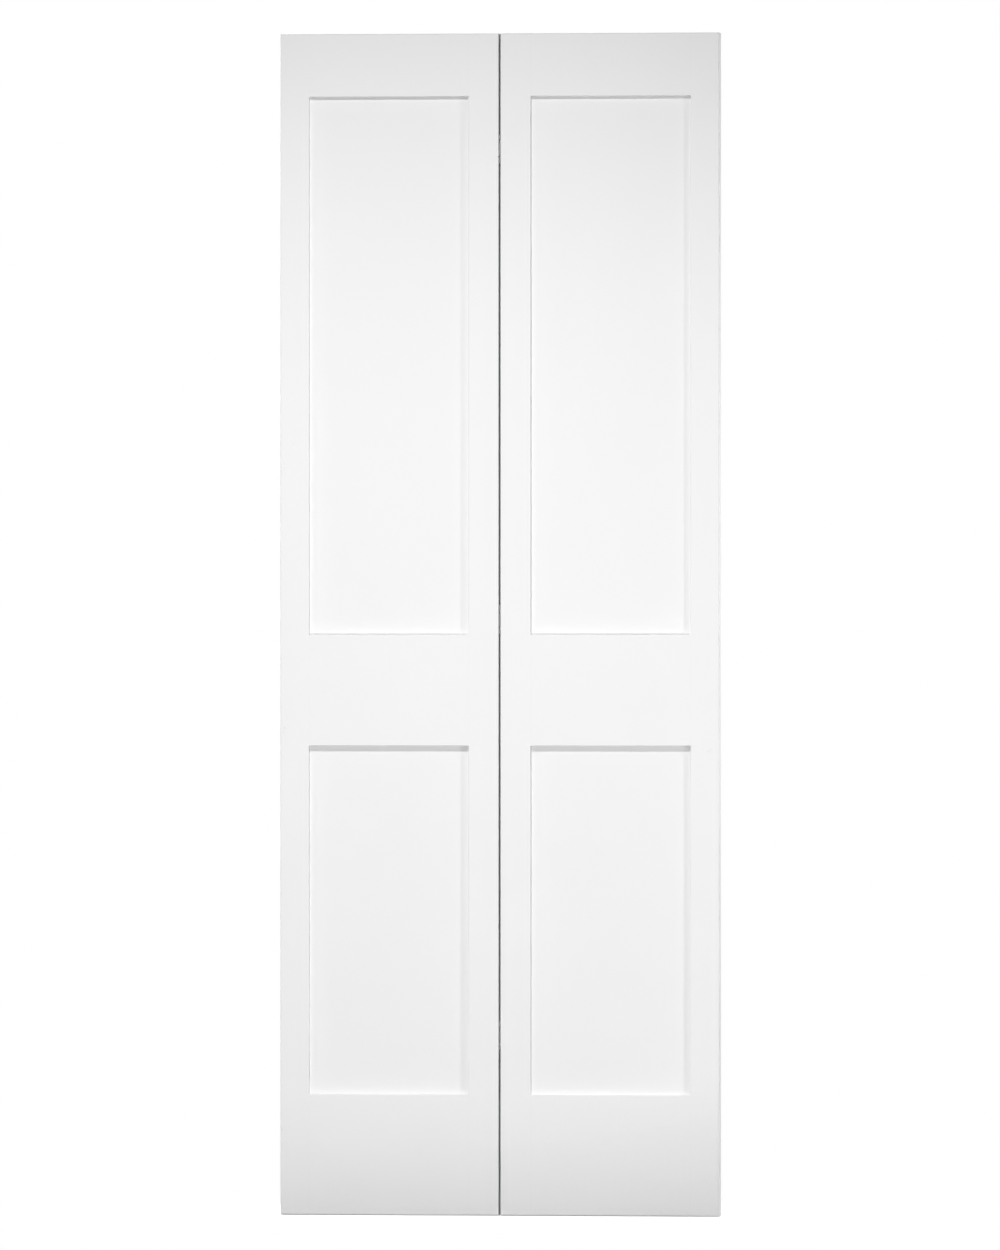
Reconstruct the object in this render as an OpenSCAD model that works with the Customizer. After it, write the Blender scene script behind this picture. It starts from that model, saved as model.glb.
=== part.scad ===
// Bifold door: two framed leaves with flat recessed panels, joined edge to edge by three
// low-profile hinges. Millimetres. The origin is the mouth of the pivot hole in the bottom
// edge of the left leaf: X runs across the door, Y through it to the back and Z up.

/* [Door] */
// Width of both leaves laid flat, side by side
door_w = 749.4; // [700:0.1:914]
// Height of the leaves
door_h = 2006.6; // [1950:0.1:2400]
// Thickness of a leaf
leaf_t = 34.9; // [33:0.1:40]
// Radius of the sanded outside edges
edge_r = 1.5; // [0.8:0.1:2.5]
// Leg of the small bevel round the panels
arris = 0.8; // [0.3:0.1:1.5]

/* [Stiles and rails] */
// Width of the stile at the outside of the door
outer_stile_w = 49; // [46:0.5:70]
// Width of the stile that carries the hinges
hinge_stile_w = 51.5; // [48:0.5:70]
// Height of the top rail
top_rail_h = 106.5; // [100:0.5:140]
// Height of the lock rail
lock_rail_h = 188.5; // [100:0.5:220]
// Height of the bottom rail
bottom_rail_h = 204.5; // [150:0.5:240]
// Height of the lower opening, from the bottom rail to the lock rail
lower_sight_h = 592.5; // [500:0.5:700]

/* [Panels and joints] */
// Thickness of the panels
panel_t = 12.7; // [9:0.1:16]
// Depth of the grooves in stiles and rails
groove_d = 12; // [8:0.5:14]
// Free space past the panel's edge, where it can swell
panel_end_play = 2; // [0.5:0.5:4]
// Free space on each face of a panel in its groove
panel_play = 0.1; // [0.05:0.05:0.3]
// Free space on each face and at the end of a stub tenon
tenon_play = 0.1; // [0.05:0.05:0.3]
// Diameter of the dowels
dowel_d = 10; // [8:1:12]
// Length of the dowels, half in the stile and half in the rail
dowel_l = 70; // [50:1:80]
// Leg of the bevel round each end of a dowel
dowel_bevel = 1.2; // [0.5:0.1:2]
// Free space round a dowel
dowel_play = 0.05; // [0.03:0.01:0.2]
// Free space past each end of a dowel
dowel_end_play = 1; // [0.5:0.5:3]
// Least distance from a dowel's axis to a groove or to a pivot hole's end
dowel_margin = 14; // [10:1:20]

/* [Pivot holes] */
// Diameter of the holes for pivots and guide
pivot_hole_d = 9.5; // [8:0.1:12]
// Depth of the holes
pivot_hole_depth = 38; // [25:1:45]
// Distance from the leaf's outside edge to the axis of its holes
pivot_inset = 22; // [18:0.5:28]

/* [Hinges] */
// Height of a hinge
hinge_h = 52; // [48:1:64]
// Reach of the outer plate from the hinge's axis
hinge_reach = 30; // [28:0.5:32]
// Thickness of the plate metal
plate_t = 2; // [1.6:0.1:2.4]
// Free space between a plate and the edge of the leaf that it faces
plate_play = 1.2; // [0.2:0.1:1.6]
// Diameter of the pin
pin_d = 3.5; // [3:0.1:4]
// Free space round the pin in its knuckles
pin_play = 0.05; // [0.03:0.01:0.09]
// Radius of the pin's domed ends
pin_head_r = 2.7; // [2.2:0.1:3.2]
// Height of the domed ends
pin_head_h = 0.9; // [0.5:0.1:1.5]
// Free space between the knuckles and the back face of the leaves
knuckle_back = 0.4; // [0.2:0.1:1]
// Height of the inner plate and its knuckle
tab_h = 26; // [22:1:28]
// Reach of the inner plate from the hinge's axis
tab_reach = 18.5; // [18:0.5:20]
// Corner radius of the inner plate
tab_r = 6; // [2:0.5:8]
// Free space round the inner plate in its window, and between knuckles
tab_play = 0.4; // [0.3:0.05:0.8]
// Corner radius of the outer plate
lobe_r = 4; // [2:0.5:5]
// Width of the notches between the lobes of the outer plate
notch_w = 5.4; // [4:0.2:6]
// Depth of those notches
notch_depth = 5.5; // [3:0.5:6]
// Distance from the hinge's middle to the middle of a notch
notch_v = 13.8; // [12:0.2:15]
// Distance by which the middle lobe stops short of the corner lobes
lobe_step = 1; // [0.2:0.1:2]
// Width of the hairline seam where a knuckle's curl closes
seam_w = 0.25; // [0.1:0.05:0.4]
// Height of the top hinge's middle below the top edge
top_hinge_drop = 196; // [150:1:260]
// Height of the middle hinge's middle above the bottom edge
middle_hinge_up = 1011; // [1000:1:1100]
// Height of the bottom hinge's middle above the bottom edge
bottom_hinge_up = 304; // [250:1:380]

/* [Hinge screws] */
// Diameter of the screws' shanks
screw_d = 3.5; // [3:0.1:4]
// Diameter of their flat heads
screw_head_d = 6.8; // [6:0.1:7.2]
// Length of the screws
screw_l = 19; // [13:1:25]
// Angle of the countersunk heads
screw_cone = 82; // [80:1:90]
// Free space round a screw
screw_play = 0.1; // [0.05:0.05:0.2]
// Distance from the hinge's axis to the screws nearest to it
near_screw_u = 13.5; // [12:0.5:15]
// Distance from the hinge's middle to the screws of the inner plate
tab_screw_v = 6.8; // [5:0.2:8]

/* [Hidden] */
$fn = 48;
leaf_gap = plate_t + plate_play;
leaf_w = (door_w - leaf_gap) / 2;
sight_w = leaf_w - outer_stile_w - hinge_stile_w;
lock_rail_z = bottom_rail_h + lower_sight_h;
upper_sight_z = lock_rail_z + lock_rail_h;
top_rail_z = door_h - top_rail_h;
upper_sight_h = top_rail_z - upper_sight_z;

groove_w = panel_t + 2 * panel_play;
panel_lap = groove_d - panel_end_play;
tenon_l = groove_d - tenon_play;
tenon_t = groove_w - 2 * tenon_play;

bottom_dowels = spread(pivot_hole_depth + dowel_margin,
                       bottom_rail_h - groove_d - dowel_margin, 3);
lock_dowels = spread(lock_rail_z + groove_d + dowel_margin,
                     upper_sight_z - groove_d - dowel_margin, 3);
top_dowels = spread(top_rail_z + groove_d + dowel_margin,
                    door_h - pivot_hole_depth - dowel_margin, 2);
dowel_zs = concat(bottom_dowels, lock_dowels, top_dowels);

pin_r = pin_d / 2;
bore_r = pin_r + pin_play;
knuckle_r = bore_r + plate_t;
fold_x = leaf_w - pivot_inset + leaf_gap / 2;
fold_y = leaf_t / 2 + knuckle_back + knuckle_r;
top_hinge_z = door_h - top_hinge_drop;
hinge_zs = [top_hinge_z, middle_hinge_up, bottom_hinge_up];
window_reach = tab_reach + tab_play;
arm_h = (hinge_h - tab_h) / 2 - tab_play;
knuckle_break = 0.3;

screw_r = screw_d / 2;
head_r = screw_head_d / 2;
cone_h = (head_r - screw_r) / tan(screw_cone / 2);
screw_tip = 2 * screw_d;
drive_w = 0.9;
drive_span = 3.6;
drive_depth = 1.2;
// Places of the screws in each plate: reach from the hinge's axis, and height from its middle
outer_screws = [[near_screw_u, -(hinge_h - arm_h) / 2],
                [near_screw_u, (hinge_h - arm_h) / 2],
                [(window_reach + hinge_reach - lobe_step) / 2, 0]];
tab_screws = [[near_screw_u, -tab_screw_v], [near_screw_u, tab_screw_v]];

eps = 0.01;
over = 1;

// Evenly spaced values from a to b
function spread(a, b, n) = [for (i = [0 : n - 1]) a + (b - a) * i / (n - 1)];

// Outlines

// A rectangle from the origin with all four corners round
module rounded_rect(w, h, r) {
    translate([r, 0]) square([w - 2 * r, h]);
    translate([0, r]) square([w, h - 2 * r]);
    for (x = [r, w - r], y = [r, h - r]) translate([x, y]) circle(r);
}

// A rectangle from the origin with the two corners at its far end round
module far_rounded_rect(l, h, r) {
    square([l - r, h]);
    translate([0, r]) square([l, h - 2 * r]);
    for (y = [r, h - r]) translate([l - r, y]) circle(r);
}

// The leaf

// Places a leaf drawn with its outside edge at x = 0 and its hinge edge at x = leaf_w
module left_leaf() {
    translate([-pivot_inset, 0, 0]) children();
}

module right_leaf() {
    translate([2 * fold_x + pivot_inset, 0, 0]) mirror([1, 0, 0]) children();
}

// A board as high and as thick as the leaf, l wide, with its top and bottom edges sanded
module full_board(l) {
    rotate([90, 0, 90])
        linear_extrude(l)
            translate([-leaf_t / 2, 0])
                rounded_rect(leaf_t, door_h, edge_r);
}

// A square bar that cuts a bevel with a leg of arris into the edge on its axis
module bevel_bar(l) {
    rotate([0, 0, 45]) cube([arris * sqrt(2), arris * sqrt(2), l], center = true);
}

// Bevels along both faces of an upright edge at x, over the two openings
module opening_bevels(x) {
    for (y = [-leaf_t / 2, leaf_t / 2]) {
        translate([x, y, bottom_rail_h + lower_sight_h / 2]) bevel_bar(lower_sight_h);
        translate([x, y, upper_sight_z + upper_sight_h / 2]) bevel_bar(upper_sight_h);
    }
}

module dowel_hole(l) {
    rotate([0, 90, 0]) cylinder(r = dowel_d / 2 + dowel_play, h = l);
}

// A stile with its sanded outer edge at x = 0 and its grooved edge at x = w
module stile(w) {
    hole_l = dowel_l / 2 + dowel_end_play;
    difference() {
        intersection() {
            full_board(w);
            linear_extrude(door_h)
                translate([w, leaf_t / 2])
                    rotate(180)
                        far_rounded_rect(w, leaf_t, edge_r);
        }
        translate([w - groove_d, -groove_w / 2, -over])
            cube([groove_d + over, groove_w, door_h + 2 * over]);
        opening_bevels(w);
        for (z = dowel_zs) translate([w - hole_l, 0, z]) dowel_hole(hole_l + over);
    }
}

module pivot_holes() {
    translate([pivot_inset, 0, -over])
        cylinder(d = pivot_hole_d, h = pivot_hole_depth + over);
    translate([pivot_inset, 0, door_h - pivot_hole_depth])
        cylinder(d = pivot_hole_d, h = pivot_hole_depth + over);
}

module outer_stile() {
    color("whitesmoke") difference() {
        stile(outer_stile_w);
        pivot_holes();
    }
}

// screws: the places of the screws in the plate that lies on this stile
module hinge_stile(screws) {
    color("whitesmoke") difference() {
        translate([leaf_w, 0, 0]) mirror([1, 0, 0]) stile(hinge_stile_w);
        for (hinge_z = hinge_zs, s = screws)
            translate([leaf_w - screw_l, fold_y - s[0], hinge_z + s[1]])
                rotate([0, 90, 0])
                    cylinder(r = screw_r + screw_play, h = screw_l + over);
    }
}

// A rail from z up to z + h with stub tenons; low and high say where a panel enters it
module rail(z, h, dowels, low, high) {
    hole_l = dowel_l / 2 + dowel_end_play;
    color("whitesmoke") difference() {
        union() {
            intersection() {
                translate([outer_stile_w, 0, 0]) full_board(sight_w);
                translate([outer_stile_w, -leaf_t / 2, z]) cube([sight_w, leaf_t, h]);
            }
            translate([outer_stile_w - tenon_l, -tenon_t / 2, z])
                cube([sight_w + 2 * tenon_l, tenon_t, h]);
        }
        if (low) rail_edge(z, -1);
        if (high) rail_edge(z + h, 1);
        for (at = dowels) {
            translate([outer_stile_w - groove_d, 0, at]) dowel_hole(groove_d + hole_l);
            translate([leaf_w - hinge_stile_w - hole_l, 0, at])
                dowel_hole(groove_d + hole_l);
        }
    }
}

// The cut at a rail's edge at height z that faces a panel: groove and bevels
module rail_edge(z, side) {
    translate([outer_stile_w - groove_d, -groove_w / 2, side > 0 ? z - groove_d : z - over])
        cube([sight_w + 2 * groove_d, groove_w, groove_d + over]);
    for (y = [-leaf_t / 2, leaf_t / 2])
        translate([outer_stile_w + sight_w / 2, y, z])
            rotate([0, 90, 0])
                bevel_bar(sight_w);
}

module top_rail() {
    rail(top_rail_z, top_rail_h, top_dowels, true, false);
}

module lock_rail() {
    rail(lock_rail_z, lock_rail_h, lock_dowels, true, true);
}

module bottom_rail() {
    rail(0, bottom_rail_h, bottom_dowels, false, true);
}

// A flat panel for the opening from z up to z + h, with its edges in the grooves
module panel(z, h) {
    color("white")
        translate([outer_stile_w - panel_lap, -panel_t / 2, z - panel_lap])
            cube([sight_w + 2 * panel_lap, panel_t, h + 2 * panel_lap]);
}

// A dowel from z = 0 up, with its ends bevelled
module dowel() {
    r = dowel_d / 2;
    rotate_extrude()
        polygon([[0, 0], [r - dowel_bevel, 0], [r, dowel_bevel], [r, dowel_l - dowel_bevel],
                 [r - dowel_bevel, dowel_l], [0, dowel_l]]);
}

module dowels() {
    color("burlywood")
        for (x = [outer_stile_w, leaf_w - hinge_stile_w], z = dowel_zs)
            translate([x - dowel_l / 2, 0, z])
                rotate([0, 90, 0])
                    dowel();
}

// The hinge, drawn round its axis, with its plates reaching towards -Y

// A knuckle from z = 0 up, with its ends broken
module knuckle(l) {
    rotate_extrude()
        polygon([[bore_r, 0], [knuckle_r - knuckle_break, 0], [knuckle_r, knuckle_break],
                 [knuckle_r, l - knuckle_break], [knuckle_r - knuckle_break, l], [bore_r, l]]);
}

// Stands a plate's outline up, with its thickness from x - plate_t to x
module plate_sheet(x) {
    translate([x, 0, 0]) rotate([90, 0, -90]) linear_extrude(plate_t) children();
}

// The pin's hole and the seam that the curled metal leaves beside the plate's face at x
module pin_hole_and_seam(x, side) {
    translate([0, 0, -hinge_h / 2 - over]) cylinder(r = bore_r, h = hinge_h + 2 * over);
    translate([side > 0 ? x : x - seam_w, -knuckle_r - over, -hinge_h / 2 - over])
        cube([seam_w, knuckle_r - bore_r / 2 - plate_t / 2 + over, hinge_h + 2 * over]);
}

module outer_outline() {
    difference() {
        translate([0, -hinge_h / 2]) far_rounded_rect(hinge_reach, hinge_h, lobe_r);
        translate([-over, -tab_h / 2 - tab_play])
            far_rounded_rect(window_reach + over, tab_h + 2 * tab_play, tab_r + tab_play);
        for (v = [-notch_v, notch_v]) translate([hinge_reach - notch_depth, v]) {
            translate([notch_w / 2, 0]) circle(d = notch_w);
            translate([notch_w / 2, -notch_w / 2]) square([notch_depth, notch_w]);
        }
        translate([hinge_reach - lobe_step, -notch_v])
            square([lobe_step + over, 2 * notch_v]);
    }
}

module tab_outline() {
    translate([0, -tab_h / 2]) far_rounded_rect(tab_reach, tab_h, tab_r);
}

// Turns a screw or its hole, drawn with its head at z = 0 and its point down, to point to -X
module to_left() {
    rotate([0, 90, 0]) children();
}

module countersink() {
    to_left() {
        translate([0, 0, -cone_h])
            cylinder(r1 = screw_r + screw_play, r2 = head_r + screw_play, h = cone_h + eps);
        translate([0, 0, -plate_t - over])
            cylinder(r = screw_r + screw_play, h = plate_t + 2 * over);
    }
}

// The plate on the left leaf: a frame with two knuckles and a lobed front edge
module outer_plate(hinge_z) {
    face_x = -leaf_gap / 2 + plate_t;
    color("silver") translate([fold_x, fold_y, hinge_z]) difference() {
        union() {
            plate_sheet(face_x) outer_outline();
            translate([0, 0, -hinge_h / 2]) knuckle(arm_h);
            translate([0, 0, hinge_h / 2 - arm_h]) knuckle(arm_h);
        }
        pin_hole_and_seam(face_x, 1);
        for (s = outer_screws) translate([face_x, -s[0], s[1]]) countersink();
    }
}

// The plate on the right leaf: a tab with one knuckle, lying in the outer plate's window
module inner_plate(hinge_z) {
    face_x = leaf_gap / 2 - plate_t;
    color("silver") translate([fold_x, fold_y, hinge_z]) difference() {
        union() {
            plate_sheet(leaf_gap / 2) tab_outline();
            translate([0, 0, -tab_h / 2]) knuckle(tab_h);
        }
        pin_hole_and_seam(face_x, -1);
        for (s = tab_screws)
            translate([face_x, -s[0], s[1]]) mirror([1, 0, 0]) countersink();
    }
}

// A low dome of radius r and height h on the plane z = 0
module dome(r, h) {
    ball_r = (r * r + h * h) / (2 * h);
    intersection() {
        translate([0, 0, h - ball_r]) sphere(ball_r);
        cylinder(r = r, h = h);
    }
}

module hinge_pin(hinge_z) {
    shank_l = hinge_h + 2 * pin_play;
    color("gainsboro") translate([fold_x, fold_y, hinge_z]) {
        translate([0, 0, -shank_l / 2]) cylinder(r = pin_r, h = shank_l);
        translate([0, 0, shank_l / 2]) dome(pin_head_r, pin_head_h);
        translate([0, 0, -shank_l / 2]) mirror([0, 0, 1]) dome(pin_head_r, pin_head_h);
    }
}

// The hinge screws

// A flat-head screw with its head's face at z = 0 and its point at z = -screw_l
module screw() {
    difference() {
        rotate_extrude()
            polygon([[0, 0], [head_r, 0], [screw_r, -cone_h],
                     [screw_r, screw_tip - screw_l], [0, -screw_l]]);
        for (turn = [0, 90])
            rotate(turn)
                translate([-drive_span / 2, -drive_w / 2, -drive_depth])
                    cube([drive_span, drive_w, drive_depth + over]);
    }
}

module left_hinge_screws() {
    color("gainsboro")
        for (hinge_z = hinge_zs, s = outer_screws)
            translate([fold_x - leaf_gap / 2 + plate_t, fold_y - s[0], hinge_z + s[1]])
                to_left() screw();
}

module right_hinge_screws() {
    color("gainsboro")
        for (hinge_z = hinge_zs, s = tab_screws)
            translate([fold_x + leaf_gap / 2 - plate_t, fold_y - s[0], hinge_z + s[1]])
                mirror([1, 0, 0]) to_left() screw();
}

left_leaf() outer_stile();  // left_outer_stile
left_leaf() hinge_stile(outer_screws);  // left_hinge_stile
left_leaf() top_rail();  // left_top_rail
left_leaf() lock_rail();  // left_lock_rail
left_leaf() bottom_rail();  // left_bottom_rail
left_leaf() panel(upper_sight_z, upper_sight_h);  // left_upper_panel
left_leaf() panel(bottom_rail_h, lower_sight_h);  // left_lower_panel
left_leaf() dowels();  // left_dowels
right_leaf() outer_stile();  // right_outer_stile
right_leaf() hinge_stile(tab_screws);  // right_hinge_stile
right_leaf() top_rail();  // right_top_rail
right_leaf() lock_rail();  // right_lock_rail
right_leaf() bottom_rail();  // right_bottom_rail
right_leaf() panel(upper_sight_z, upper_sight_h);  // right_upper_panel
right_leaf() panel(bottom_rail_h, lower_sight_h);  // right_lower_panel
right_leaf() dowels();  // right_dowels
outer_plate(top_hinge_z);  // top_hinge_outer_plate
inner_plate(top_hinge_z);  // top_hinge_inner_plate
hinge_pin(top_hinge_z);  // top_hinge_pin
outer_plate(middle_hinge_up);  // middle_hinge_outer_plate
inner_plate(middle_hinge_up);  // middle_hinge_inner_plate
hinge_pin(middle_hinge_up);  // middle_hinge_pin
outer_plate(bottom_hinge_up);  // bottom_hinge_outer_plate
inner_plate(bottom_hinge_up);  // bottom_hinge_inner_plate
hinge_pin(bottom_hinge_up);  // bottom_hinge_pin
left_hinge_screws();
right_hinge_screws();
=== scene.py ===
"""Looks of the bifold door: primed leaves, zinc-plated hinges and screws, a plain studio.
Everything is in metres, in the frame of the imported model."""
import math

import bpy
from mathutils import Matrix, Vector


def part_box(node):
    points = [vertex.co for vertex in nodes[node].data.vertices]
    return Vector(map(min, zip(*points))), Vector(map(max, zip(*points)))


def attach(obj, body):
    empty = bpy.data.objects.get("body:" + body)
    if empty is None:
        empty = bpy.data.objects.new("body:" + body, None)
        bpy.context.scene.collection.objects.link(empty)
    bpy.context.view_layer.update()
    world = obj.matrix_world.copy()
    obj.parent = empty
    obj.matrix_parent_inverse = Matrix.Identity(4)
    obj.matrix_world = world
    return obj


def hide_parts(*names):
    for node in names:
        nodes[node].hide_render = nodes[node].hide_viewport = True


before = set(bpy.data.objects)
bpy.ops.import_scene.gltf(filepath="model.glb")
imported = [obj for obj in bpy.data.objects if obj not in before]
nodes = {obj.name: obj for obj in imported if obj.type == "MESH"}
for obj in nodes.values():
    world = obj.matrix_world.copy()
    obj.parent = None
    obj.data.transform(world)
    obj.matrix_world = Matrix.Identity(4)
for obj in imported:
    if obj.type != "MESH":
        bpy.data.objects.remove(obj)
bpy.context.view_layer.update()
MM = 0.001
LEAVES = ("left", "right")
HINGES = ("top", "middle", "bottom")

# Places on the door, read from the frame
left_low, left_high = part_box("left_outer_stile")
DOOR_LEFT, DOOR_RIGHT = left_low.x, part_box("right_outer_stile")[1].x
DOOR_FRONT, DOOR_TOP = left_low.y, left_high.z
MIDDLE = (DOOR_LEFT + DOOR_RIGHT) / 2
# The left pivot holes are bored at x = 0, and the right ones as far in from their own edge
PIVOT_INSET = -DOOR_LEFT
PIVOT_AXES = (0.0, DOOR_RIGHT - PIVOT_INSET)
BORE_R = 4.75 * MM

# The photograph's frame, in its own pixels, and the door's place in it
FRAME_H = 1250
FRAME_MIDDLE_X, FRAME_MIDDLE_Y = 500, 625
DOOR_TOP_PX, DOOR_BOTTOM_PX = 33.9, 1214.95
DOOR_MIDDLE_PX = 500.6
METRES_PER_PX = DOOR_TOP / (DOOR_BOTTOM_PX - DOOR_TOP_PX)

WHITE = (1, 1, 1, 1)


# Node trees

# Sockets that go by number, of a Mix node for colours and of a Random Value node for floats
MIX_FACTOR, MIX_FIRST, MIX_SECOND, MIX_RESULT = 0, 6, 7, 2
RANDOM_MOST, RANDOM_RESULT = 3, 1


def add_node(tree, kind, inputs=None, **settings):
    """A new node, with settings on it, and values or links on its inputs by name or number."""
    made = tree.nodes.new(kind)
    for name, value in settings.items():
        setattr(made, name, value)
    for key, value in (inputs or {}).items():
        if isinstance(value, bpy.types.NodeSocket):
            tree.links.new(value, made.inputs[key])
        else:
            made.inputs[key].default_value = value
    return made


def new_material(name):
    """An empty material: itself, its tree and a principled shader that reaches the output."""
    material = bpy.data.materials.new(name)
    material.use_nodes = True
    tree = material.node_tree
    tree.nodes.clear()
    shader = add_node(tree, "ShaderNodeBsdfPrincipled")
    add_node(tree, "ShaderNodeOutputMaterial", {"Surface": shader.outputs["BSDF"]})
    return material, tree, shader


def object_place(tree):
    return add_node(tree, "ShaderNodeTexCoord").outputs["Object"]


def coordinates(tree, place):
    """The place's X, Y and Z, by name."""
    return add_node(tree, "ShaderNodeSeparateXYZ", {"Vector": place}).outputs


def length_of(tree, x, y):
    """The length of a vector that lies in the XY plane."""
    flat = add_node(tree, "ShaderNodeCombineXYZ", {"X": x, "Y": y})
    return add_node(tree, "ShaderNodeVectorMath", {0: flat.outputs["Vector"]},
                    operation="LENGTH").outputs["Value"]


def stretched(tree, place, scale):
    return add_node(tree, "ShaderNodeMapping", {"Vector": place, "Scale": scale}).outputs["Vector"]


def noise(tree, place, scale, detail=2.0, roughness=0.5):
    return add_node(tree, "ShaderNodeTexNoise",
                    {"Vector": place, "Scale": scale, "Detail": detail,
                     "Roughness": roughness}).outputs["Fac"]


def calc(tree, operation, a, b=0.0):
    return add_node(tree, "ShaderNodeMath", {0: a, 1: b}, operation=operation).outputs["Value"]


def remap(tree, value, low, high, to_low=0.0, to_high=1.0, smooth=False):
    return add_node(tree, "ShaderNodeMapRange",
                    {"Value": value, "From Min": low, "From Max": high,
                     "To Min": to_low, "To Max": to_high},
                    interpolation_type="SMOOTHSTEP" if smooth else "LINEAR").outputs["Result"]


def blend_colour(tree, factor, first, second):
    """Mixes two colours, each a socket or a plain triple."""
    def rgba(c):
        return c if isinstance(c, bpy.types.NodeSocket) else (*c, 1.0)
    return add_node(tree, "ShaderNodeMix",
                    {MIX_FACTOR: factor, MIX_FIRST: rgba(first), MIX_SECOND: rgba(second)},
                    data_type="RGBA").outputs[MIX_RESULT]


def bump(tree, height, distance, strength=1.0, over=None):
    inputs = {"Height": height, "Distance": distance, "Strength": strength}
    if over is not None:
        inputs["Normal"] = over
    return add_node(tree, "ShaderNodeBump", inputs).outputs["Normal"]


def dimmed(colour, *by):
    """The colour with its channels multiplied, by one factor or by one for each channel."""
    return [c * factor for c, factor in zip(colour, by * 3 if len(by) == 1 else by)]


# Materials

PRIMER = (0.80, 0.80, 0.80)
PANEL_PRIMER = (0.802, 0.802, 0.802)
MARK = (0.684, 0.679, 0.665)
HAIRLINE = (0.51, 0.50, 0.48)
PINE = ((0.78, 0.60, 0.38), (0.86, 0.72, 0.50))
BEECH = ((0.62, 0.42, 0.25), (0.76, 0.57, 0.37))
BEECH_FLECK = (0.50, 0.31, 0.17)
# Painted shade: a darker zinc for the plates' front edges, which show down the slot between the
# leaves
SLOT_SHADE_ZINC = (0.33, 0.33, 0.325)
# Zinc of each kind of piece: its dark and its light tone, the stretch and depth of its marks,
# and its roughness
PLATE_ZINC = ((0.31, 0.31, 0.305), (0.43, 0.43, 0.43), (900, 900, 30), 0.02 * MM, 0.42)
PIN_ZINC = ((0.45, 0.45, 0.44), (0.59, 0.59, 0.59), (60, 60, 4200), 0.01 * MM, 0.32)
SCREW_ZINC = ((0.42, 0.42, 0.41), (0.56, 0.56, 0.56), (700, 700, 700), 0.015 * MM, 0.32)
# Stretch of the wood's figure on boards that stand, boards that lie and panels, and of the
# grain of bare wood and the flecks of beech
UPRIGHT, ACROSS, ON_PANELS = (55, 55, 2.2), (2.2, 55, 55), (9, 9, 6)
PINE_GRAIN, BEECH_GRAIN, BEECH_FLECKS = (260, 260, 9), (14, 420, 420), (220, 1400, 1400)
# Noise scales: shades and specks of the primer, patches of its sheen, its fine relief, the
# ragged edge of a mark, and the bloom of zinc
SHADES, SPECKS, SHEEN_PATCHES, FINE_RELIEF, RAGGED, BLOOM = 2.6, 130.0, 14.0, 520.0, 260.0, 95.0
# Reach of a hairline from its middle, of a plate's painted shade from its front edge, and of bare
# wood past the bore's radius and down from the end of the stile: where each is full and where it
# ends
HAIRLINE_REACH = (0.06 * MM, 0.22 * MM)
SLOT_SHADE_REACH = (1.6 * MM, 2.6 * MM)
BARE_REACH = (0.1 * MM, 0.25 * MM)
BARE_DEPTH = (1.4 * MM, 0.6 * MM)
# Faint marks from handling: pixels of the photograph, and the radius of each in millimetres
MARKS_PX = ((283, 730, 9), (711, 751, 8), (292, 442, 7), (290, 391, 6), (281, 467, 8),
            (281, 1130, 7))


def photo_point(px, py):
    """The place on the front face that shows at a pixel of the photograph."""
    return (MIDDLE + (px - FRAME_MIDDLE_X) * METRES_PER_PX, DOOR_FRONT,
            (DOOR_BOTTOM_PX - py) * METRES_PER_PX)


def handling_marks(tree, place):
    """How much each point is darkened by the faint marks on the stiles."""
    total = None
    ragged = noise(tree, place, RAGGED, 3.0)
    for px, py, radius in MARKS_PX:
        away = add_node(tree, "ShaderNodeVectorMath", {0: place, 1: photo_point(px, py)},
                        operation="DISTANCE").outputs["Value"]
        mark = remap(tree, away, radius * MM, 0.25 * radius * MM, smooth=True)
        total = mark if total is None else calc(tree, "MAXIMUM", total, mark)
    return calc(tree, "MULTIPLY", total, remap(tree, ragged, 0.42, 0.66))


def bare_pine(tree, place):
    """Unpainted pine with its grain upright, as inside the pivot holes."""
    rings = noise(tree, stretched(tree, place, PINE_GRAIN), 1.0, 3.0, 0.6)
    return blend_colour(tree, remap(tree, rings, 0.35, 0.65), *PINE)


def in_pivot_holes(tree, place):
    """1 inside the pivot holes and 0 outside them and at their rims, where the primer turns in."""
    at = coordinates(tree, place)
    nearest = None
    for axis_x in PIVOT_AXES:
        away = length_of(tree, calc(tree, "SUBTRACT", at["X"], axis_x), at["Y"])
        nearest = away if nearest is None else calc(tree, "MINIMUM", nearest, away)
    full, end = BARE_REACH
    near = remap(tree, nearest, BORE_R + end, BORE_R + full)
    from_middle = calc(tree, "ABSOLUTE", calc(tree, "SUBTRACT", at["Z"], DOOR_TOP / 2))
    full, end = BARE_DEPTH
    deep = remap(tree, from_middle, DOOR_TOP / 2 - end, DOOR_TOP / 2 - full)
    return calc(tree, "MULTIPLY", near, deep)


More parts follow.
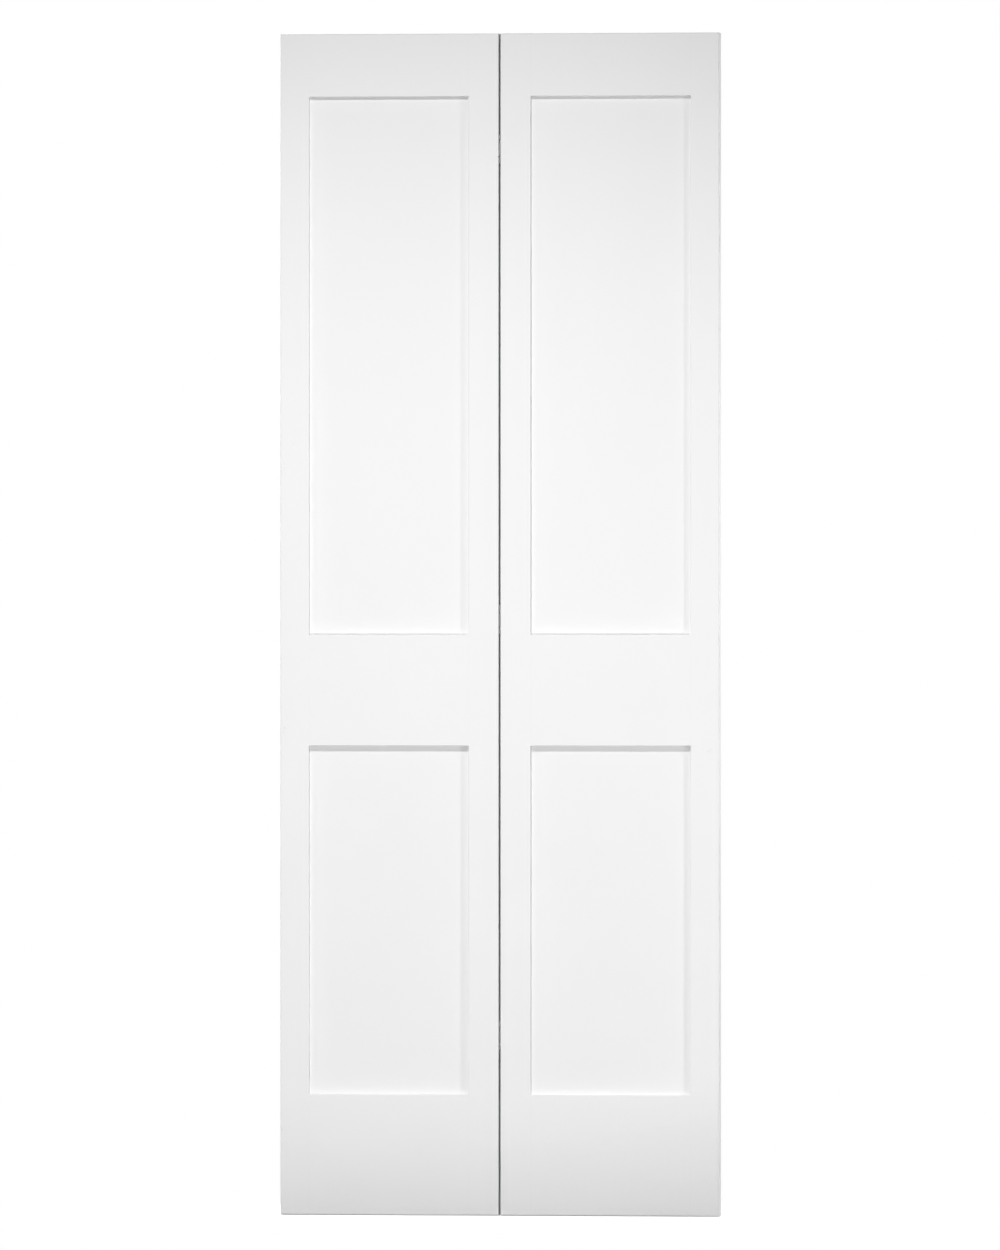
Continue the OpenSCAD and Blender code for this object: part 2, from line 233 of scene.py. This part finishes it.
def primer(name, grain, colour=PRIMER, grain_depth=0.02 * MM, marks=False, holes=False,
           joints=()):
    """White primer. grain stretches the wood's figure that telegraphs through it; joints are
    the x of the hairlines where boards meet."""
    material, tree, shader = new_material(name)
    place = object_place(tree)
    shades = remap(tree, noise(tree, place, SHADES, 3.0), 0.35, 0.65)
    specks = remap(tree, noise(tree, place, SPECKS, 3.0), 0.3, 0.7)
    figure = noise(tree, stretched(tree, place, grain), 1.0, 3.0, 0.55)
    tone = blend_colour(tree, shades, dimmed(colour, 0.988), colour)
    tone = blend_colour(tree, calc(tree, "MULTIPLY", specks, 0.5), tone, dimmed(colour, 0.985))
    tone = blend_colour(tree, remap(tree, figure, 0.52, 0.72, 0.0, 0.35), tone,
                        dimmed(colour, 0.984, 0.983, 0.978))
    if marks:
        dark = calc(tree, "MULTIPLY", handling_marks(tree, place), 0.5)
        tone = blend_colour(tree, dark, tone, MARK)
    for x in joints:
        full, end = HAIRLINE_REACH
        across = calc(tree, "ABSOLUTE",
                      calc(tree, "SUBTRACT", coordinates(tree, place)["X"], x))
        tone = blend_colour(tree, remap(tree, across, end, full, 0.0, 0.35), tone, HAIRLINE)
    if holes:
        tone = blend_colour(tree, in_pivot_holes(tree, place), tone, bare_pine(tree, place))
    relief = bump(tree, figure, grain_depth)
    relief = bump(tree, noise(tree, place, FINE_RELIEF), 0.05 * MM, 0.6, over=relief)
    rough = remap(tree, noise(tree, place, SHEEN_PATCHES, 3.0), 0.3, 0.7, 0.50, 0.60)
    for key, value in (("Base Color", tone), ("Normal", relief), ("Roughness", rough)):
        tree.links.new(value, shader.inputs[key])
    shader.inputs["Specular IOR Level"].default_value = 0.3
    return material


def beech():
    """The dowels' bare beech, with its grain along X and the flecks of its rays."""
    material, tree, shader = new_material("bare_beech")
    place = object_place(tree)
    grain = noise(tree, stretched(tree, place, BEECH_GRAIN), 1.0, 4.0, 0.6)
    flecks = noise(tree, stretched(tree, place, BEECH_FLECKS), 1.0)
    tone = blend_colour(tree, remap(tree, grain, 0.3, 0.7), *BEECH)
    tone = blend_colour(tree, remap(tree, flecks, 0.6, 0.72), tone, BEECH_FLECK)
    tree.links.new(tone, shader.inputs["Base Color"])
    tree.links.new(bump(tree, grain, 0.08 * MM), shader.inputs["Normal"])
    shader.inputs["Roughness"].default_value = 0.62
    return material


def zinc(name, dark, light, lines, depth, rough, front_edge=None):
    """Zinc plating. lines stretches the marks of rolling, turning or heading; front_edge is the Y
    of a plate's front edge, which is darkened as painted shade of the slot between the leaves, and
    rougher."""
    material, tree, shader = new_material(name)
    place = object_place(tree)
    marks = noise(tree, stretched(tree, place, lines), 1.0, 3.0, 0.6)
    bloom = noise(tree, place, BLOOM, 4.0, 0.6)
    tone = blend_colour(tree, remap(tree, bloom, 0.32, 0.68), dark, light)
    tone = blend_colour(tree, remap(tree, marks, 0.55, 0.75, 0.0, 0.4), tone, dimmed(dark, 0.8))
    sheen = remap(tree, bloom, 0.3, 0.7, rough + 0.07, rough - 0.05)
    # Painted shade: near the front edge the zinc is darkened as if in the slot's shade, and made
    # rougher
    if front_edge is not None:
        full, end = SLOT_SHADE_REACH
        edge = remap(tree, coordinates(tree, place)["Y"], front_edge + end, front_edge + full)
        tone = blend_colour(tree, edge, tone, SLOT_SHADE_ZINC)
        sheen = calc(tree, "MAXIMUM", sheen, calc(tree, "MULTIPLY", edge, 0.65))
    for key, value in (("Base Color", tone), ("Roughness", sheen),
                       ("Normal", bump(tree, marks, depth))):
        tree.links.new(value, shader.inputs[key])
    shader.inputs["Metallic"].default_value = 1.0
    return material


def wear(names, material):
    """Puts a material on CAD nodes."""
    for name in names:
        slots = nodes[name].data.materials
        slots.clear()
        slots.append(material)


def dress_frame():
    """Gives every CAD node its finish."""
    for leaf in LEAVES:
        outer_low, outer_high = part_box(f"{leaf}_outer_stile")
        hinge_low, hinge_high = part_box(f"{leaf}_hinge_stile")
        joints = ((outer_high.x, hinge_low.x) if leaf == "left"
                  else (outer_low.x, hinge_high.x))
        wear([f"{leaf}_outer_stile"],
             primer(f"primer_on_{leaf}_outer_stile", UPRIGHT, marks=True, holes=True))
        wear([f"{leaf}_hinge_stile"], primer(f"primer_on_{leaf}_hinge_stile", UPRIGHT))
        wear([f"{leaf}_{rail}_rail" for rail in ("top", "lock", "bottom")],
             primer(f"primer_on_{leaf}_rails", ACROSS, joints=joints))
    wear([f"{leaf}_{panel}_panel" for leaf in LEAVES for panel in ("upper", "lower")],
         primer("primer_on_panels", ON_PANELS, PANEL_PRIMER, 0.01 * MM))
    wear([f"{leaf}_dowels" for leaf in LEAVES], beech())
    for plate in ("outer", "inner"):
        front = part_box(f"top_hinge_{plate}_plate")[0].y
        wear([f"{hinge}_hinge_{plate}_plate" for hinge in HINGES],
             zinc(f"zinc_on_{plate}_plates", *PLATE_ZINC, front_edge=front))
    wear([f"{hinge}_hinge_pin" for hinge in HINGES], zinc("zinc_on_pins", *PIN_ZINC))


# Hinge screws

# Sizes of a screw, as the tree's named inputs
SCREW = {"Head radius": 3.4 * MM, "Head height": 1.9 * MM, "Core radius": 1.25 * MM,
         "Thread radius": 1.72 * MM, "Length": 19 * MM, "Pitch": 1.35 * MM,
         "Point length": 6 * MM, "Recess radius": 2.0 * MM, "Recess depth": 1.7 * MM,
         "Recess width": 1.0 * MM}
# Sides of its round parts and of the thread's ridge, and steps in a turn of the thread
ROUND_SIDES, RIDGE_SIDES, STEPS_A_TURN = 28, 3, 18
# The recess's spikes: radius at the foot and at the top, as shares of the recess's radius, and
# height as a share of its depth, so that they stand clear of the head's face
SPIKE_FOOT, SPIKE_TOP, SPIKE_HEIGHT = 0.35, 1.2, 1.2
# Points that the recess's cuts leave nearer to each other than this become one
MERGE = 0.002 * MM
# Where the shank starts, as a share of the head's height
SHANK_START = 0.9
# The point's cone, as shares of the core's radius and the point's length: it starts in the shank
POINT_SLIMNESS, POINT_OVERLAP = 0.98, 1.03
# Turns of the shank under the head that have no thread, the share of the point that has one,
# and that thread's first radius as a share of the core's
BARE_TURNS = 2.5
TIP_SHARE, TIP_START = 0.8, 0.15
# Reach of the screws from the hinge's axis, and height from its middle, in millimetres
OUTER_SCREWS = ((13.5, -19.7), (13.5, 19.7), (23.95, 0.0))
INNER_SCREWS = ((13.5, -6.8), (13.5, 6.8))
# For each leaf, its screws, the turn that lays them in its stile, in degrees, and their seed
DRIVEN = (("left", OUTER_SCREWS, 90, 3), ("right", INNER_SCREWS, -90, 8))
PLATE_T = 2.0 * MM
SHARP_FROM = math.radians(32)


def screw_tree(material):
    """Geometry Nodes tree: a cross-recessed, threaded wood screw on each point of its mesh,
    with its head's face on the point. Head turn lays it along X."""
    tree = bpy.data.node_groups.new("hinge_screws", "GeometryNodeTree")
    face = tree.interface
    face.new_socket("Geometry", in_out="INPUT", socket_type="NodeSocketGeometry")
    for name, value in SCREW.items():
        face.new_socket(name, in_out="INPUT", socket_type="NodeSocketFloat").default_value = value
    face.new_socket("Head turn", in_out="INPUT", socket_type="NodeSocketFloat")
    face.new_socket("Seed", in_out="INPUT", socket_type="NodeSocketInt")
    face.new_socket("Geometry", in_out="OUTPUT", socket_type="NodeSocketGeometry")
    given = add_node(tree, "NodeGroupInput").outputs

    def vector(x=0.0, y=0.0, z=0.0):
        return add_node(tree, "ShaderNodeCombineXYZ", {"X": x, "Y": y, "Z": z}).outputs[0]

    def times(value, factor):
        return calc(tree, "MULTIPLY", value, factor)

    def less(value, other):
        return calc(tree, "SUBTRACT", value, other)

    def moved(geometry, z, scale=(1, 1, 1)):
        return add_node(tree, "GeometryNodeTransform", {
            "Geometry": geometry, "Translation": vector(z=z), "Scale": scale}).outputs[0]

    def cone(low_r, high_r, height, sides=ROUND_SIDES):
        return add_node(tree, "GeometryNodeMeshCone", {
            "Vertices": sides, "Radius Bottom": low_r, "Radius Top": high_r,
            "Depth": height}).outputs["Mesh"]

    length, head_h, core_r = given["Length"], given["Head height"], given["Core radius"]
    recess_r, recess_d = given["Recess radius"], given["Recess depth"]
    head = moved(cone(core_r, given["Head radius"], head_h), times(head_h, -1.0))
    # The recess: two crossed four-sided spikes, sunk point down in the head
    slim = calc(tree, "DIVIDE", given["Recess width"], recess_r)
    spike = cone(times(recess_r, SPIKE_FOOT), times(recess_r, SPIKE_TOP),
                 times(recess_d, SPIKE_HEIGHT), sides=4)
    for scale in (vector(1.0, slim, 1.0), vector(slim, 1.0, 1.0)):
        arm = moved(spike, times(recess_d, -1.0), scale)
        head = add_node(tree, "GeometryNodeMeshBoolean", {"Mesh 1": head, "Mesh 2": arm},
                        operation="DIFFERENCE", solver="EXACT").outputs["Mesh"]
    head = add_node(tree, "GeometryNodeMergeByDistance",
                    {"Geometry": head, "Distance": MERGE}).outputs["Geometry"]
    # The shank, with its top inside the head, and the point, with its top inside the shank
    point_z = less(given["Point length"], length)
    shank_l = less(times(point_z, -1.0), times(head_h, SHANK_START))
    shank = add_node(tree, "GeometryNodeMeshCylinder", {
        "Vertices": ROUND_SIDES, "Radius": core_r, "Depth": shank_l}).outputs["Mesh"]
    shank = moved(shank, calc(tree, "ADD", point_z, times(shank_l, 0.5)))
    point = moved(cone(0.0, times(core_r, POINT_SLIMNESS),
                       times(given["Point length"], POINT_OVERLAP)), times(length, -1.0))
    # The thread: a ridge swept along a helix on the shank, and one that narrows on the point
    ridge_r = less(given["Thread radius"], core_r)
    ridge = add_node(tree, "GeometryNodeCurvePrimitiveCircle",
                     {"Resolution": RIDGE_SIDES, "Radius": ridge_r}).outputs["Curve"]

    def thread(run, low_r, low_z):
        helix = add_node(tree, "GeometryNodeCurveSpiral", {
            "Resolution": STEPS_A_TURN, "Rotations": calc(tree, "DIVIDE", run, given["Pitch"]),
            "Start Radius": low_r, "End Radius": core_r, "Height": run}).outputs["Curve"]
        swept = add_node(tree, "GeometryNodeCurveToMesh", {
            "Curve": helix, "Profile Curve": ridge, "Fill Caps": True}).outputs["Mesh"]
        return moved(swept, low_z)

    tip_run = times(given["Point length"], TIP_SHARE)
    parts = (head, shank, point,
             thread(less(shank_l, times(given["Pitch"], BARE_TURNS)), core_r, point_z),
             thread(tip_run, times(core_r, TIP_START), less(point_z, tip_run)))
    screw = add_node(tree, "GeometryNodeJoinGeometry")
    for part in parts:
        tree.links.new(part, screw.inputs[0])

    # A screw on every point, each driven to an angle of its own
    turn = add_node(tree, "FunctionNodeRandomValue",
                    {"Seed": given["Seed"], RANDOM_MOST: math.pi}, data_type="FLOAT")
    spun = add_node(tree, "FunctionNodeAxisAngleToRotation",
                    {"Axis": (0, 0, 1), "Angle": turn.outputs[RANDOM_RESULT]}).outputs[0]
    laid = add_node(tree, "FunctionNodeEulerToRotation",
                    {"Euler": vector(y=given["Head turn"])}).outputs[0]
    aimed = add_node(tree, "FunctionNodeRotateRotation", {"Rotation": laid, "Rotate By": spun},
                     rotation_space="LOCAL").outputs[0]
    placed = add_node(tree, "GeometryNodeInstanceOnPoints", {
        "Points": given["Geometry"], "Instance": screw.outputs[0], "Rotation": aimed}).outputs[0]
    real = add_node(tree, "GeometryNodeRealizeInstances", {"Geometry": placed}).outputs[0]
    dressed = add_node(tree, "GeometryNodeSetMaterial", {"Geometry": real, "Material": material})
    add_node(tree, "NodeGroupOutput", {"Geometry": dressed.outputs[0]})
    return tree


def plain_mesh(name, tree, points, values):
    """The tree's result on some points, as an object with a plain mesh."""
    point_mesh = bpy.data.meshes.new(name + "_points")
    point_mesh.from_pydata(points, [], [])
    holder = bpy.data.objects.new(name + "_points", point_mesh)
    bpy.context.collection.objects.link(holder)
    modifier = holder.modifiers.new("screws", "NODES")
    modifier.node_group = tree
    for item in tree.interface.items_tree:
        if item.in_out == "INPUT" and item.name in values:
            modifier[item.identifier] = values[item.name]
    depsgraph = bpy.context.evaluated_depsgraph_get()
    mesh = bpy.data.meshes.new_from_object(holder.evaluated_get(depsgraph))
    holder.modifiers.remove(modifier)
    bpy.data.objects.remove(holder)
    mesh.name = name
    made = bpy.data.objects.new(name, mesh)
    bpy.context.collection.objects.link(made)
    return made


def add_screws():
    """The screws of both leaves, in place of the CAD ones."""
    tree = screw_tree(zinc("zinc_on_screws", *SCREW_ZINC))
    for leaf, spots, turn, seed in DRIVEN:
        stile_low, stile_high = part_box(f"{leaf}_hinge_stile")
        face_x = stile_high.x + PLATE_T if leaf == "left" else stile_low.x - PLATE_T
        points = []
        for hinge in HINGES:
            pin_low, pin_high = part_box(f"{hinge}_hinge_pin")
            axis = (pin_low + pin_high) / 2
            points += [(face_x, axis.y - reach * MM, axis.z + up * MM) for reach, up in spots]
        screws = plain_mesh(f"{leaf}_leaf_wood_screws", tree, points,
                            {"Head turn": math.radians(turn), "Seed": seed})
        screws.data.shade_smooth()
        screws.data.set_sharp_from_angle(angle=SHARP_FROM)
        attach(screws, f"{leaf}_leaf")
        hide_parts(f"{leaf}_hinge_screws")


# Studio

# The camera stands a little to the right of straight ahead, from where the white behind the
# door doesn't show through the slot between the leaves
CAMERA_AZIMUTH = math.radians(6.2)
CAMERA_DISTANCE = 24.0
SENSOR = 36.0

# Lamps: a compact key from above, a fill from low in front, a weak one at each side and two
# behind. Each has its name, its place and its aim, both from the middle of the door's front at
# its foot, its power, half its cone's opening angle, the softness of the cone's edge and its
# radius
LAMPS = (
    ("key", (-0.05, -2.4, 3.04), (-0.34, 0, -1.0), 262, 0.885, 1.0, 0.1),
    ("fill", (-0.05, -2.97, 0.215), (-0.14, 0, 2.16), 113, 0.682, 0.13, 0.2),
    ("side_right", (2.4, -1.75, 0.4), (0, 0, 0.4), 70, 1.4, 1.0, 0.1),
    ("side_left", (-2.4, -1.75, 0.9), (0, 0, 0.9), 26, 1.4, 1.0, 0.1),
    ("back_left", (-2.7, 2.1, 2.3), (0, 0, 0.9), 352, 1.0, 1.0, 0.4),
    ("back_right", (2.3, 2.1, 1.2), (0, 0, 0.9), 206, 1.0, 1.0, 0.4),
)
AMBIENCE = 0.216

# The floor: half its size, and its height, just under the door's foot
FLOOR_HALF = 8.0
FLOOR_Z = -1 * MM
# Its two pale tones, their noise and its own glow close to the door, and the grey that it is
# for scattered light
FLOOR_PALE = ((0.88, 0.88, 0.88), (0.90, 0.90, 0.90))
FLOOR_SPECKS = 60.0
FLOOR_GLOW = 0.5
FLOOR_GREY = (0.25, 0.25, 0.25, 1)
# It starts to turn white at the first distance from a line along the door's foot, and is white
# at the second. Half the line's length is the last number, as a share of the door's width
SHADOW_START, SHADOW_REACH = 0.05, 0.75
FOOT_SHARE = 0.45


def add_camera():
    """A long lens that frames the door as the photograph does."""
    data = bpy.data.cameras.new("camera")
    data.sensor_width = SENSOR
    data.lens = SENSOR * CAMERA_DISTANCE / (FRAME_H * METRES_PER_PX)
    data.clip_end = 3 * CAMERA_DISTANCE
    camera = bpy.data.objects.new("camera", data)
    back = Vector((math.sin(CAMERA_AZIMUTH), -math.cos(CAMERA_AZIMUTH), 0))
    aside = Vector((math.cos(CAMERA_AZIMUTH), math.sin(CAMERA_AZIMUTH), 0))
    aim = Vector((MIDDLE, 0, (DOOR_BOTTOM_PX - FRAME_MIDDLE_Y) * METRES_PER_PX))
    aim -= aside * (DOOR_MIDDLE_PX - FRAME_MIDDLE_X) * METRES_PER_PX
    camera.location = aim + back * CAMERA_DISTANCE
    camera.rotation_euler = (math.pi / 2, 0, CAMERA_AZIMUTH)
    bpy.context.collection.objects.link(camera)
    bpy.context.scene.camera = camera


def add_lamp(name, place, aim, power, half_angle, softness, radius):
    """A spot lamp, as a row of LAMPS describes it."""
    def at(x, y, z):
        return Vector((MIDDLE + x, DOOR_FRONT + y, z))
    data = bpy.data.lights.new(name, "SPOT")
    data.energy = power
    data.spot_size = 2 * half_angle
    data.spot_blend = softness
    data.shadow_soft_size = radius
    lamp = bpy.data.objects.new(name, data)
    lamp.location = at(*place)
    lamp.rotation_euler = (at(*aim) - lamp.location).to_track_quat("-Z", "Y").to_euler()
    bpy.context.collection.objects.link(lamp)


def seen_directly(tree):
    """1 for rays from the camera, from gloss and through glass, and 0 for light that scatters."""
    path = add_node(tree, "ShaderNodeLightPath").outputs
    seen = calc(tree, "MAXIMUM", path["Is Camera Ray"], path["Is Glossy Ray"])
    return calc(tree, "MAXIMUM", seen, path["Is Transmission Ray"])


def add_world():
    """White where it is seen, and a plain grey ambience on everything else."""
    world = bpy.data.worlds.new("studio")
    world.use_nodes = True
    tree = world.node_tree
    tree.nodes.clear()
    ambience = add_node(tree, "ShaderNodeBackground", {"Color": WHITE, "Strength": AMBIENCE})
    white = add_node(tree, "ShaderNodeBackground", {"Color": WHITE, "Strength": 1.0})
    both = add_node(tree, "ShaderNodeMixShader", {"Fac": seen_directly(tree),
                                                  1: ambience.outputs[0], 2: white.outputs[0]})
    add_node(tree, "ShaderNodeOutputWorld", {"Surface": both.outputs[0]})
    bpy.context.scene.world = world


def add_floor():
    """A pale floor that keeps the door's shadow close by and turns plain white further out."""
    mesh = bpy.data.meshes.new("floor")
    corners = ((-1, -1), (1, -1), (1, 1), (-1, 1))
    mesh.from_pydata([(MIDDLE + x * FLOOR_HALF, y * FLOOR_HALF, FLOOR_Z) for x, y in corners],
                     [], [(0, 1, 2, 3)])
    floor = bpy.data.objects.new("floor", mesh)
    bpy.context.collection.objects.link(floor)
    material = bpy.data.materials.new("pale_floor")
    material.use_nodes = True
    tree = material.node_tree
    tree.nodes.clear()
    place = object_place(tree)
    at = coordinates(tree, place)
    from_middle = calc(tree, "ABSOLUTE", calc(tree, "SUBTRACT", at["X"], MIDDLE))
    past_end = calc(tree, "MAXIMUM", calc(tree, "SUBTRACT", from_middle,
                                          FOOT_SHARE * (DOOR_RIGHT - DOOR_LEFT)), 0.0)
    far = remap(tree, length_of(tree, past_end, at["Y"]), SHADOW_START, SHADOW_REACH, smooth=True)
    pale = blend_colour(tree, noise(tree, place, FLOOR_SPECKS, 3.0), *FLOOR_PALE)
    matt = add_node(tree, "ShaderNodeBsdfDiffuse", {"Color": pale}).outputs[0]
    glow = add_node(tree, "ShaderNodeEmission", {"Color": WHITE, "Strength": FLOOR_GLOW})
    near = add_node(tree, "ShaderNodeAddShader", {0: matt, 1: glow.outputs[0]}).outputs[0]
    white = add_node(tree, "ShaderNodeEmission", {"Color": WHITE, "Strength": 1.0})
    shown = add_node(tree, "ShaderNodeMixShader", {"Fac": far, 1: near,
                                                   2: white.outputs[0]}).outputs[0]
    grey = add_node(tree, "ShaderNodeBsdfDiffuse", {"Color": FLOOR_GREY}).outputs[0]
    both = add_node(tree, "ShaderNodeMixShader", {"Fac": seen_directly(tree), 1: grey,
                                                  2: shown}).outputs[0]
    add_node(tree, "ShaderNodeOutputMaterial", {"Surface": both})
    mesh.materials.append(material)


dress_frame()
add_screws()
add_camera()
for lamp_row in LAMPS:
    add_lamp(*lamp_row)
add_world()
add_floor()
bpy.context.scene.view_settings.view_transform = "Standard"
